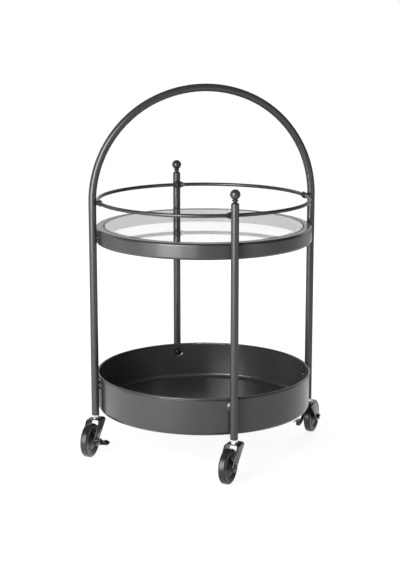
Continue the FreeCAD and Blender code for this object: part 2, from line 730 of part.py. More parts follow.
def brake_lever():
    """Lever plate about the axle with a curved foot pedal turned outwards and a lip under it."""
    axle_at = (CASTER_TRAIL, axle_z)
    arm_at = (CASTER_TRAIL - LEVER_ARM_REACH, axle_z - LEVER_ARM_DROP)
    reach = math.hypot(LEVER_ARM_REACH, LEVER_ARM_DROP)
    heading = math.atan2(-LEVER_ARM_DROP, -LEVER_ARM_REACH)
    lean = math.acos((LEVER_DISC_R - LEVER_ARM_R) / reach)
    corners = []
    for centre, radius, side in ((axle_at, LEVER_DISC_R, 1), (arm_at, LEVER_ARM_R, 1),
                                 (arm_at, LEVER_ARM_R, -1), (axle_at, LEVER_DISC_R, -1)):
        angle = heading + side * lean
        corners.append((centre[0] + radius * math.cos(angle), centre[1] + radius * math.sin(angle)))
    thick = Vector(0, LEVER_T, 0)
    plate = outline(corners).extrude(thick)
    for centre, radius in ((axle_at, LEVER_DISC_R), (arm_at, LEVER_ARM_R)):
        disc = Part.Face(Part.Wire(Part.makeCircle(radius, in_xz(*centre), Y_AXIS)))
        plate = plate.fuse(disc.extrude(thick))
    plate.translate(Vector(0, lever_y, 0))

    root_z = axle_z - PEDAL_DROP
    root_y = lever_y
    tip_y = lever_out_y + PEDAL_W
    middle_y = (root_y + tip_y) / 2
    top = Part.Arc(in_yz(root_y, root_z), in_yz(middle_y, root_z + PEDAL_RISE), in_yz(tip_y, root_z - PEDAL_FALL))
    under = Part.Arc(in_yz(tip_y, root_z - PEDAL_FALL - PEDAL_T),
                     in_yz(middle_y, root_z + PEDAL_RISE - PEDAL_T), in_yz(root_y, root_z - PEDAL_T))
    ends = [Part.LineSegment(in_yz(tip_y, root_z - PEDAL_FALL), in_yz(tip_y, root_z - PEDAL_FALL - PEDAL_T)),
            Part.LineSegment(in_yz(root_y, root_z - PEDAL_T), in_yz(root_y, root_z))]
    section = Part.Wire([top.toShape(), ends[0].toShape(), under.toShape(), ends[1].toShape()])
    pedal = Part.Face(section).extrude(Vector(PEDAL_L, 0, 0))
    front_x = CASTER_TRAIL - PEDAL_START - PEDAL_L
    pedal.translate(Vector(front_x, 0, 0))
    lip = Part.makeBox(PEDAL_T, LEVER_T + PEDAL_LIP_W, PEDAL_LIP_H,
                       Vector(front_x, lever_y, root_z - PEDAL_T / 2 - PEDAL_LIP_H))
    lever = plate.fuse(pedal).fuse(lip).removeSplitter()
    return lever.cut(lay_axle(rod(AXLE_D / 2 + JOURNAL_CLEARANCE, 0, FORK_OUTER_W)))


def placed_caster(shape, name):
    """Turn a caster piece to its rest direction and stand it under its upright."""
    piece = shape.copy()
    piece.rotate(ORIGIN, Z_AXIS, TRAIL_DEG[name])
    leg = math.radians(LEG_DEG[name])
    piece.translate(Vector(UPRIGHT_CIRCLE_R * math.cos(leg), UPRIGHT_CIRCLE_R * math.sin(leg), 0))
    return piece


def frame_nodes():
    """Every node of the standing body of the cart."""
    tray_seat_r = near_wall_r - TRAY_SHEET - WASHER_T
    return {
        "arch_tube": arch_tube(),
        "front_post": post("front"),
        "rear_post": post("rear"),
        "post_caps": post_caps(),
        "finials": finials(),
        "gallery_rail": gallery_rail(),
        "gallery_spacers": gallery_spacers(),
        "gallery_screws": dome_screws(rail_circle_r - EYE_THICKNESS / 2, rail_z),
        "shelf_frame": shelf_frame(),
        "shelf_spacers": shelf_spacers(),
        "shelf_screws": dome_screws(frame_seat_r, frame_screw_z),
        "glass_ledge": glass_ledge(),
        "glass_pads": glass_pads(),
        "glass_top": glass_top(),
        "tray": tray(),
        "tray_washers": tray_washers(),
        "tray_screws": dome_screws(tray_seat_r, tray_screw_z),
        "rivet_nuts": rivet_nuts(),
        "leg_inserts": leg_inserts(),
        "caster_stems": caster_stems(),
        "stem_nuts": stem_nuts(),
        "thrust_washers": thrust_washers(),
    }


def caster_nodes(name):
    """Every node of one caster, at rest under its upright."""
    braked = name in BRAKED
    pieces = {
        "fork": fork(),
        "axle": axle(braked),
        "axle_nut": axle_nut(),
        "axle_sleeve": axle_sleeve(),
        "wheel": wheel(),
        "tyre": tyre(),
    }
    if braked:
        pieces["brake_cam"] = brake_cam()
        pieces["brake_lever"] = brake_lever()
    return {name + "_" + key: placed_caster(piece, name) for key, piece in pieces.items()}


def all_nodes():
    """The whole cart, node by node."""
    nodes = frame_nodes()
    for name in LEG_DEG:
        nodes.update(caster_nodes(name))
    return nodes


os.makedirs("parts", exist_ok=True)
for node, shape in all_nodes().items():
    shape.exportStep("parts/" + node + ".step")
    print(node, "solids", len(shape.Solids), "volume", round(shape.Volume), "valid", shape.isValid())
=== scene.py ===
"""Finishes, added pieces, floor, light and camera for the round serving cart."""

import json
import logging
import math
from collections.abc import Callable
from dataclasses import dataclass
from enum import Enum

import bpy
from mathutils import Matrix, Vector


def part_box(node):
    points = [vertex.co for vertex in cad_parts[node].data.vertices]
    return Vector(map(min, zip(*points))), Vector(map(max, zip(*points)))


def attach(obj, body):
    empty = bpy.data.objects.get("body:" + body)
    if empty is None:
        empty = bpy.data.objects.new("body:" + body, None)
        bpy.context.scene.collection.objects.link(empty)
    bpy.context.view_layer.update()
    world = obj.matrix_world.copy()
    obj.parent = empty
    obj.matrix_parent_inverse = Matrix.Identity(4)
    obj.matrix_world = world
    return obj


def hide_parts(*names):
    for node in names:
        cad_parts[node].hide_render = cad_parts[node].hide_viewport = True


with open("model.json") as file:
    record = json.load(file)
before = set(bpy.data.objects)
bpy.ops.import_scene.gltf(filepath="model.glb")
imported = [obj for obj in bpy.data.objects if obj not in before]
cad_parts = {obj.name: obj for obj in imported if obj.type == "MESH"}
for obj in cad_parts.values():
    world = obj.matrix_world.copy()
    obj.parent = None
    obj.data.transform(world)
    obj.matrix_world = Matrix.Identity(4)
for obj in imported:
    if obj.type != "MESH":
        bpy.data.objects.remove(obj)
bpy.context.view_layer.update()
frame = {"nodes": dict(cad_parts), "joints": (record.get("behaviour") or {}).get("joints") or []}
log = logging.getLogger("serving_cart")

MM = 0.001
WHITE = (1.0, 1.0, 1.0, 1.0)
UNMOVED = Matrix.Identity(4)
UP = Vector((0, 0, 1))

# Most values of a texture lie between these two.
TEXTURE_LOW, TEXTURE_HIGH = 0.3, 0.7
# Sockets of the Mix node, which gives several the same name: share, numbers, colours and blended colour.
MIX_SHARE, MIX_NUMBERS, MIX_COLOURS, MIX_BLENDED = 0, (2, 3), (6, 7), 2
# Edges sharper than this are rounded, in so many steps.
SHARP_DEG, ROUNDING_STEPS = 35.0, 3
# A face whose normal reaches further than this along an axis faces that way.
FACES_ALONG = 0.5
# Part of a ring's half width that its corners are rounded by.
RING_ROUNDING = 0.8


def linear(hex_colour: str) -> tuple[float, float, float, float]:
    """Turn an sRGB hex colour into linear RGBA by the curve of the sRGB standard.

    Args:
        hex_colour: six hexadecimal digits, such as "3a3a3a".

    Returns:
        Red, green, blue and an alpha of one, as Blender's sockets take them.
    """
    channels = []
    for start in (0, 2, 4):
        value = int(hex_colour[start:start + 2], 16) / 255
        channels.append(value / 12.92 if value <= 0.04045 else ((value + 0.055) / 1.055) ** 2.4)
    return (*channels, 1.0)


def add_node(tree: bpy.types.NodeTree, kind: str, settings: dict | None = None,
             links: dict | None = None) -> bpy.types.Node:
    """Add a shader node with its settings and the links into it.

    Args:
        tree: the node tree that gets the node.
        kind: the node's type after "ShaderNode".
        settings: values by socket name or number, or by the node's own attribute.
        links: output sockets by the name or number of the input that takes them.

    Returns:
        The new node.
    """
    node = tree.nodes.new("ShaderNode" + kind)
    for key, value in (settings or {}).items():
        if isinstance(key, int) or key in node.inputs:
            node.inputs[key].default_value = value
        else:
            setattr(node, key, value)
    for key, socket in (links or {}).items():
        tree.links.new(socket, node.inputs[key])
    return node


class Pattern(Enum):
    """Which texture breaks a surface up."""

    CLOUDS = "TexNoise"
    CELLS = "TexVoronoi"


def pattern(tree: bpy.types.NodeTree, kind: Pattern, size_mm: float,
            detail: float = 2.0) -> bpy.types.NodeSocket:
    """Add a texture in the object's own space.

    Args:
        tree: the node tree that gets the texture.
        kind: clouds or cells.
        size_mm: about how wide one cloud or cell is.
        detail: how many finer octaves lie on top of the first.

    Returns:
        The texture's factor or distance, from about zero to one.
    """
    place = add_node(tree, "TexCoord")
    made = add_node(tree, kind.value, {"Scale": 1 / (size_mm * MM), "Detail": detail},
                    {"Vector": place.outputs["Object"]})
    return made.outputs[0]


def ramp(low: float, high: float, start: float = TEXTURE_LOW,
         end: float = TEXTURE_HIGH) -> dict[str, float]:
    """Settings with which a map gives low at start and below it, and high at end and above it."""
    return {"From Min": start, "From Max": end, "To Min": low, "To Max": high}


@dataclass(frozen=True)
class Finish:
    """What every finish has: the record's slot, two shades of its colour and a range of roughness."""

    slot: str
    colour: str
    shade: str
    smooth: float
    rough: float

    def material(self) -> bpy.types.Material:
        """Build the finish as a node material.

        Returns:
            The new material, named for its class and its slot.
        """
        made = bpy.data.materials.new(type(self).__name__ + "_" + self.slot)
        made.use_nodes = True
        self.dress(made.node_tree, made.node_tree.nodes["Principled BSDF"])
        return made

    def colours(self, tree: bpy.types.NodeTree, share: bpy.types.NodeSocket) -> bpy.types.NodeSocket:
        """Blend the colour into its shade.

        Args:
            tree: the material's node tree.
            share: how much of the shade shows, from zero to one.

        Returns:
            The blended colour.
        """
        first, second = MIX_COLOURS
        shades = {"data_type": "RGBA", first: linear(self.colour), second: linear(self.shade)}
        return add_node(tree, "Mix", shades, {MIX_SHARE: share}).outputs[MIX_BLENDED]

    def tone(self, tree: bpy.types.NodeTree, shader: bpy.types.Node, texture: bpy.types.NodeSocket) -> None:
        """Vary colour and roughness between their two ends by a texture.

        Args:
            tree: the material's node tree.
            shader: its surface shader.
            texture: what drives the two.
        """
        share = add_node(tree, "MapRange", ramp(0, 1), {"Value": texture})
        dulling = add_node(tree, "MapRange", ramp(self.smooth, self.rough), {"Value": texture})
        tree.links.new(self.colours(tree, share.outputs[0]), shader.inputs["Base Color"])
        tree.links.new(dulling.outputs[0], shader.inputs["Roughness"])

    def dress(self, tree: bpy.types.NodeTree, shader: bpy.types.Node) -> None:
        """Fill the material's tree; each finish has its own."""
        raise NotImplementedError


@dataclass(frozen=True)
class PowderCoat(Finish):
    """Polyester powder, sprayed and baked: a satin sheen that an even orange peel softens."""

    ior: float = 1.52
    peel_mm: float = 2.0
    peel_relief_mm: float = 0.004
    # The powder's own grains are near 0.05 mm and are drawn coarser, so that they show.
    grain_mm: float = 0.35

    def dress(self, tree: bpy.types.NodeTree, shader: bpy.types.Node) -> None:
        """Lay the peel as a bump and the grain as a small change of gloss.

        Args:
            tree: the material's node tree.
            shader: its surface shader.
        """
        shader.inputs["IOR"].default_value = self.ior
        self.tone(tree, shader, pattern(tree, Pattern.CLOUDS, self.grain_mm, detail=1.0))
        peel = pattern(tree, Pattern.CLOUDS, self.peel_mm, detail=0.0)
        raised = add_node(tree, "Bump", {"Distance": self.peel_relief_mm * MM}, {"Height": peel})
        tree.links.new(raised.outputs[0], shader.inputs["Normal"])


@dataclass(frozen=True)
class TubeCoat(PowderCoat):
    """Powder coat on drawn tube: smoother, with its sheen turned down towards the flanks as painted shade,
    to a dark edge.
    """

    peel_relief_mm: float = 0.0015
    front_gloss: float = 0.5
    flank_gloss: float = 0.12
    flank_start: float = 0.22
    flank_end: float = 0.6

    def dress(self, tree: bpy.types.NodeTree, shader: bpy.types.Node) -> None:
        """Coat the tube and turn down the sheen on its flanks as painted shade.

        Args:
            tree: the material's node tree.
            shader: its surface shader.
        """
        super().dress(tree, shader)
        # Painted shade: the sheen falls off where the surface turns away from the view.
        facing = add_node(tree, "LayerWeight").outputs["Facing"]
        gloss = add_node(tree, "MapRange",
                         ramp(self.front_gloss, self.flank_gloss, self.flank_start, self.flank_end),
                         {"Value": facing})
        tree.links.new(gloss.outputs[0], shader.inputs["Specular IOR Level"])


@dataclass(frozen=True)
class DipCoat(PowderCoat):
    """Black paint, dipped and baked on pressed steel: thin and glossier than powder, with a finer peel."""

    peel_mm: float = 0.8
    peel_relief_mm: float = 0.005


@dataclass(frozen=True)
class BlackenedSteel(Finish):
    """Black zinc under clear lacquer on steel: nearly black and glossy, with a faint cloud of oil."""

    ior: float = 1.6
    cloud_mm: float = 2.2

    def dress(self, tree: bpy.types.NodeTree, shader: bpy.types.Node) -> None:
        """Cloud the black and its gloss."""
        shader.inputs["IOR"].default_value = self.ior
        self.tone(tree, shader, pattern(tree, Pattern.CLOUDS, self.cloud_mm))


@dataclass(frozen=True)
class PlatedSteel(Finish):
    """Steel plated in a zinc bath: bright metal whose gloss the bath leaves in soft patches."""

    patch_mm: float = 1.8

    def dress(self, tree: bpy.types.NodeTree, shader: bpy.types.Node) -> None:
        """Make it a metal and let the patches change shade and gloss."""
        shader.inputs["Metallic"].default_value = 1.0
        self.tone(tree, shader, pattern(tree, Pattern.CELLS, self.patch_mm))


@dataclass(frozen=True)
class MouldedPlastic(Finish):
    """Injection-moulded nylon or polypropylene: the spark-eroded grain of the mould scatters its sheen."""

    ior: float = 1.49
    # The mould's grain is near 0.1 mm and is drawn coarser, so that it shows.
    grain_mm: float = 0.6
    grain_relief_mm: float = 0.02

    def dress(self, tree: bpy.types.NodeTree, shader: bpy.types.Node) -> None:
        """Press the grain of the mould into the surface.

        Args:
            tree: the material's node tree.
            shader: its surface shader.
        """
        shader.inputs["IOR"].default_value = self.ior
        grain = pattern(tree, Pattern.CELLS, self.grain_mm)
        self.tone(tree, shader, grain)
        raised = add_node(tree, "Bump", {"Distance": self.grain_relief_mm * MM}, {"Height": grain})
        tree.links.new(raised.outputs[0], shader.inputs["Normal"])


@dataclass(frozen=True)
class TreadRubber(Finish):
    """Moulded thermoplastic rubber: matt, with dust in its clouds and a fine grain from rolling."""

    ior: float = 1.5
    dust_mm: float = 7.0
    # The worn grain is near 0.2 mm and is drawn coarser, so that it shows.
    drag_mm: float = 0.5
    drag_relief_mm: float = 0.03

    def dress(self, tree: bpy.types.NodeTree, shader: bpy.types.Node) -> None:
        """Spread the dust in clouds and roughen the tread.

        Args:
            tree: the material's node tree.
            shader: its surface shader.
        """
        shader.inputs["IOR"].default_value = self.ior
        self.tone(tree, shader, pattern(tree, Pattern.CLOUDS, self.dust_mm, detail=4.0))
        drag = pattern(tree, Pattern.CLOUDS, self.drag_mm)
        raised = add_node(tree, "Bump", {"Distance": self.drag_relief_mm * MM}, {"Height": drag})
        tree.links.new(raised.outputs[0], shader.inputs["Normal"])


@dataclass(frozen=True)
class FloatGlass(Finish):
    """Clear float glass: polished faces, and an edge left silky by the grinding belt."""

    ior: float = 1.52
    polished_r_mm: float = 217.4
    ground_r_mm: float = 218.0
    # The belt's scratches are near 0.1 mm and are drawn coarser, so that they show.
    belt_mm: float = 0.3

    def dress(self, tree: bpy.types.NodeTree, shader: bpy.types.Node) -> None:
        """Let light through, and roughen only the ground edge beyond the polished faces.

        Args:
            tree: the material's node tree.
            shader: its surface shader.
        """
        shader.inputs["IOR"].default_value = self.ior
        shader.inputs["Transmission Weight"].default_value = 1.0
        place = add_node(tree, "TexCoord")
        flat = add_node(tree, "VectorMath", {"operation": "MULTIPLY", 1: (1, 1, 0)},
                        {0: place.outputs["Object"]})
        reach = add_node(tree, "VectorMath", {"operation": "LENGTH"}, {0: flat.outputs[0]})
        edge = add_node(tree, "MapRange", ramp(0, 1, self.polished_r_mm * MM, self.ground_r_mm * MM),
                        {"Value": reach.outputs["Value"]}).outputs[0]
        tree.links.new(self.colours(tree, edge), shader.inputs["Base Color"])
        belt = add_node(tree, "MapRange", ramp(self.smooth, self.rough),
                        {"Value": pattern(tree, Pattern.CLOUDS, self.belt_mm)})
        ground = add_node(tree, "Math", {"operation": "MULTIPLY"}, {0: edge, 1: belt.outputs[0]})
        tree.links.new(ground.outputs[0], shader.inputs["Roughness"])


@dataclass(frozen=True)
class ClearSilicone(Finish):
    """Moulded clear silicone: soft and slightly milky, with a skin that blurs what is behind."""

    ior: float = 1.41
    clearness: float = 0.85
    milk_mm: float = 3.0

    def dress(self, tree: bpy.types.NodeTree, shader: bpy.types.Node) -> None:
        """Let blurred light through a cloudy body.

        Args:
            tree: the material's node tree.
            shader: its surface shader.
        """
        shader.inputs["IOR"].default_value = self.ior
        shader.inputs["Transmission Weight"].default_value = self.clearness
        self.tone(tree, shader, pattern(tree, Pattern.CLOUDS, self.milk_mm))


FINISHES = (
    # Shelf frame, its spacers and ledge, and the tray: dark grey with a broad satin sheen.
    PowderCoat("anthracite_paint", "313131", "2d2d2d", smooth=0.19, rough=0.27),
    # Screws and the tray's washers: black with a sharp glint.
    # The same black on the ring under the tray's curl is painted shade.
    BlackenedSteel("black_screw", "0c0c0c", "141414", smooth=0.1, rough=0.2),
    # Glass: shows the paper through it and a pale silky line at its edge.
    FloatGlass("clear_glass", "f1f1f1", "dcdcdc", smooth=0.2, rough=0.45),
    # Pads under the glass: small milky discs.
    ClearSilicone("clear_pad", "ececec", "dedede", smooth=0.2, rough=0.35),
    # Axle sleeves and rivet nuts: soft grey metal.
    PlatedSteel("zinc_steel", "b4b4b4", "c6c6c6", smooth=0.26, rough=0.42),
    # Stems with their nuts and washers, and the bolt tips: small bright glints by the wheels.
    PlatedSteel("bright_zinc", "e2e2e2", "d2d2d2", smooth=0.12, rough=0.24),
    # Leg inserts, and the rings that widen the finials' necks: black without a clear highlight.
    # On the rings the black is painted shade under each finial's collar.
    MouldedPlastic("black_plastic", "121212", "191919", smooth=0.3, rough=0.45),
    # Forks, axles and brakes: black with a narrow sheen along every fold.
    DipCoat("caster_steel", "1b1b1b", "222222", smooth=0.15, rough=0.24),
    # Wheels: black with a soft sheen on rim and hub.
    MouldedPlastic("wheel_plastic", "141414", "1b1b1b", smooth=0.28, rough=0.42),
    # Tyres: black with a wide dull highlight.
    TreadRubber("tyre_rubber", "161616", "1f1f1f", smooth=0.26, rough=0.38),
)

# Uprights, caps, finials and gallery rail: the same grey, with painted shade along both flanks of the tube.
TUBE_FINISHES = (TubeCoat("anthracite_paint", "313131", "2d2d2d", smooth=0.21, rough=0.27),)


def make_finishes(kinds: tuple[Finish, ...]) -> dict[str, bpy.types.Material]:
    """Build some finishes and return each material by the name of its slot."""
    return {finish.slot: finish.material() for finish in kinds}


def deselect_all() -> None:
    """Leave edit mode and deselect every object."""
    if bpy.context.object is not None and bpy.context.object.mode != "OBJECT":
        bpy.ops.object.mode_set(mode="OBJECT")
    bpy.ops.object.select_all(action="DESELECT")


def settle(piece: bpy.types.Object, name: str, place: Matrix = UNMOVED) -> bpy.types.Object:
    """Carry a piece's mesh to its place and leave its object at the origin.

    Args:
        piece: the object as modelled.
        name: its final name.
        place: the matrix from the modelling space to the cart's space.

    Returns:
        The same object.
    """
    piece.data.transform(place @ piece.matrix_world)
    piece.matrix_world = UNMOVED
    piece.name = name
    piece.data.name = name
    return piece


def join(pieces: list[bpy.types.Object]) -> bpy.types.Object:
    """Join finished pieces into one object.

    Args:
        pieces: the objects to join.

    Returns:
        The first object, which now holds all of them.
    """
    deselect_all()
    for piece in pieces:
        piece.select_set(True)
    bpy.context.view_layer.objects.active = pieces[0]
    bpy.ops.object.join()
    return pieces[0]


def copies(piece: bpy.types.Object, places: list[Matrix]) -> list[bpy.types.Object]:
    """Copy a piece to every place, each copy with its own mesh.

    Args:
        piece: the object to copy, which is left out of the result and removed.
        places: one matrix for each copy.

    Returns:
        The copies.
    """
    made = []
    for place in places:
        twin = bpy.data.objects.new(piece.name, piece.data.copy())
        bpy.context.scene.collection.objects.link(twin)
        twin.data.transform(place @ piece.matrix_world)
        made.append(twin)
    bpy.data.objects.remove(piece)
    return made


def apply_modifier(piece: bpy.types.Object, kind: str, settings: dict[str, object]) -> None:
    """Add a modifier to a piece, which stays selected alone, and apply it.

    Args:
        piece: the object to change.
        kind: the modifier's type.
        settings: its values by name.
    """
    deselect_all()
    piece.select_set(True)
    bpy.context.view_layer.objects.active = piece
    modifier = piece.modifiers.new(kind.lower(), kind)
    for key, value in settings.items():
        setattr(modifier, key, value)
    bpy.ops.object.modifier_apply(modifier=modifier.name)


def soften(piece: bpy.types.Object, width_mm: float) -> None:
    """Round a piece's sharp edges and smooth its shading.

    Args:
        piece: the object to soften.
        width_mm: width of the rounding.
    """
    sharp = math.radians(SHARP_DEG)
    apply_modifier(piece, "BEVEL", {"width": width_mm * MM, "segments": ROUNDING_STEPS,
                                    "limit_method": "ANGLE", "angle_limit": sharp})
    bpy.ops.object.shade_smooth_by_angle(angle=sharp)


def stretch(piece: bpy.types.Object, factors: tuple[float, float, float]) -> None:
    """Resize a piece's mesh in edit mode, which it stays in with all selected.

    Args:
        piece: the active object.
        factors: one for each axis.
    """
    bpy.context.view_layer.objects.active = piece
    bpy.ops.object.mode_set(mode="EDIT")
    bpy.ops.mesh.select_all(action="SELECT")
    bpy.ops.transform.resize(value=factors)


class Part(Enum):
    """Which parts of a mesh are selected; the value is the mesh's own list of them."""

    FACE = "polygons"
    EDGE = "edges"


def pick(piece: bpy.types.Object, part: Part, wanted: Callable[[bpy.types.bpy_struct], bool]) -> None:
    """Select the faces or edges that pass a test, and no others, in edit mode.

    Args:
        piece: the active object.
        part: faces or edges.
        wanted: the test, which gets one face or edge.
    """
    bpy.ops.object.mode_set(mode="EDIT")
    bpy.ops.mesh.select_mode(type=part.name)
    bpy.ops.mesh.select_all(action="DESELECT")
    bpy.ops.object.mode_set(mode="OBJECT")
    for item in getattr(piece.data, part.value):
        item.select = wanted(item)
    bpy.ops.object.mode_set(mode="EDIT")


def rounded_ring(reach_mm: float, half_mm: float, flats: int, centre: Vector) -> bpy.types.Object:
    """Turn a ring about Z: a disc whose middle is inset and bridged through, with its edges rounded.

    Args:
        reach_mm: radius of the ring's middle line.
        half_mm: half of its width and of its height.
        flats: how many there are round it.
        centre: its centre, in metres.

    Returns:
        The ring.
    """
    deselect_all()
    bpy.ops.mesh.primitive_cylinder_add(vertices=flats, radius=(reach_mm + half_mm) * MM,
                                        depth=2 * half_mm * MM, location=centre)
    ring = bpy.context.object
    pick(ring, Part.FACE, lambda face: abs(face.normal.z) > FACES_ALONG)
    bpy.ops.mesh.inset(thickness=2 * half_mm * MM)
    bpy.ops.mesh.bridge_edge_loops()
    bpy.ops.mesh.select_all(action="SELECT")
    bpy.ops.mesh.normals_make_consistent(inside=False)
    bpy.ops.object.mode_set(mode="OBJECT")
    soften(ring, half_mm * RING_ROUNDING)
    return ring


def joint_place(name: str, towards: Vector) -> Matrix:
    """Space of a hinge: Z along its axis and X as near as may be to a direction.

    Args:
        name: the joint's name in the record.
        towards: the direction that X follows.

    Returns:
        The matrix from that space to the cart's space.
    """
    joint = next(row for row in frame["joints"] if row["name"] == name)
    along = Vector(joint["axis"]).normalized()
    side = along.cross(towards).normalized()
    front = side.cross(along)
    turn = Matrix((front, side, along)).transposed().to_4x4()
    return Matrix.Translation(Vector(joint["pos_m"])) @ turn


@dataclass
class SubAssembly:
    """A group of CAD nodes that are dressed together, with the pieces modelled for them."""

    title: str
    nodes: tuple[str, ...]
    finishes: dict[str, bpy.types.Material]

    def put_on(self, piece: bpy.types.Object, slot: str, body: str) -> None:
        """Give an added piece its finish, its slot and the body that it moves with.

        Args:
            piece: the finished object.
            slot: the record's material slot.
            body: the body that carries it.
        """
        piece.data.materials.clear()
        piece.data.materials.append(self.finishes[slot])
        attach(piece, body)
        log.info("made %s", piece.name)

    def model(self) -> None:
        """Model the added pieces; a plain group has none."""

    def dress(self) -> None:
        """Give every node of the group the finishes that its slots name."""
        for name in self.nodes:
            for place in frame["nodes"][name].material_slots:
                place.material = self.finishes[place.material.name]
            log.info("dressed %s", name)

    def build(self) -> None:
        """Dress and model the group."""
        self.dress()
        self.model()
        log.info("built %s", self.title)


@dataclass
class StandingFrame(SubAssembly):
    """Arch, posts, caps and finials, with a ring widening each neck, whose black is painted shade under the
    finial.
    """

    ring_r_mm: float = 3.5
    ring_thick_mm: float = 2.6
    ring_flats: int = 48

    def model(self) -> None:
        """Slip a ring over the neck of each cap, under the finial's collar; its black is painted shade."""
        low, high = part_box("post_caps")
        post_r = (high[0] - low[0]) / 2
        lift = high[2] - self.ring_thick_mm * MM / 2
        rings = []
        for across in (low[1] + post_r, high[1] - post_r):
            centre = Vector((low[0] + post_r, across, lift))
            rings.append(rounded_ring(self.ring_r_mm, self.ring_thick_mm / 2, self.ring_flats, centre))
        # Painted shade: the rings are black for the shade that falls under each finial's collar.
        self.put_on(settle(join(rings), "finial_rings"), "black_plastic", "cart_frame")


@dataclass
class GlassShelf(SubAssembly):
    """Shelf frame, ledge and glass, with the tack welds that hold the ledge."""

    weld_count: int = 16
    weld_length_mm: float = 9.0
    weld_width_mm: float = 3.6
    weld_segments: int = 20
    weld_rings: int = 10

    def model(self) -> None:
        """Lay a short weld bead in the corner under the ledge, at even steps round the frame."""
        ledge_low, ledge_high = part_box("glass_ledge")
        deselect_all()
        bpy.ops.mesh.primitive_uv_sphere_add(segments=self.weld_segments, ring_count=self.weld_rings,
                                             radius=self.weld_width_mm * MM / 2)
        bead = bpy.context.object
        stretch(bead, (1, self.weld_length_mm / self.weld_width_mm, 1))
        bpy.ops.object.mode_set(mode="OBJECT")
        bpy.ops.object.shade_smooth()
        step = 2 * math.pi / self.weld_count
        out = Matrix.Translation(Vector((ledge_high[0], 0, ledge_low[2])))
        # The first bead lies half a step round, so that none hides behind an upright.
        beads = copies(bead, [Matrix.Rotation(step * (index + 0.5), 4, "Z") @ out
                              for index in range(self.weld_count)])
        self.put_on(settle(join(beads), "ledge_welds"), "anthracite_paint", "cart_frame")


@dataclass
class Tray(SubAssembly):
    """The drawn tray, whose rim is rolled outwards, with a black ring under the curl that paints its shade
    on the wall.
    """

    edge_reach_mm: float = 237.4
    edge_drop_mm: float = 5.5
    edge_r_mm: float = 1.0
    edge_flats: int = 256

    def model(self) -> None:
        """Lay a black ring against the wall under the curl: painted shade that reads as a dark line."""
        centre = Vector((0, 0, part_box("tray")[1][2] - self.edge_drop_mm * MM))
        edge = rounded_ring(self.edge_reach_mm, self.edge_r_mm, self.edge_flats, centre)
        # Painted shade: the ring is black for the shadow that the rolled rim casts on the wall.
        self.put_on(settle(edge, "tray_curl_edge"), "black_screw", "cart_frame")


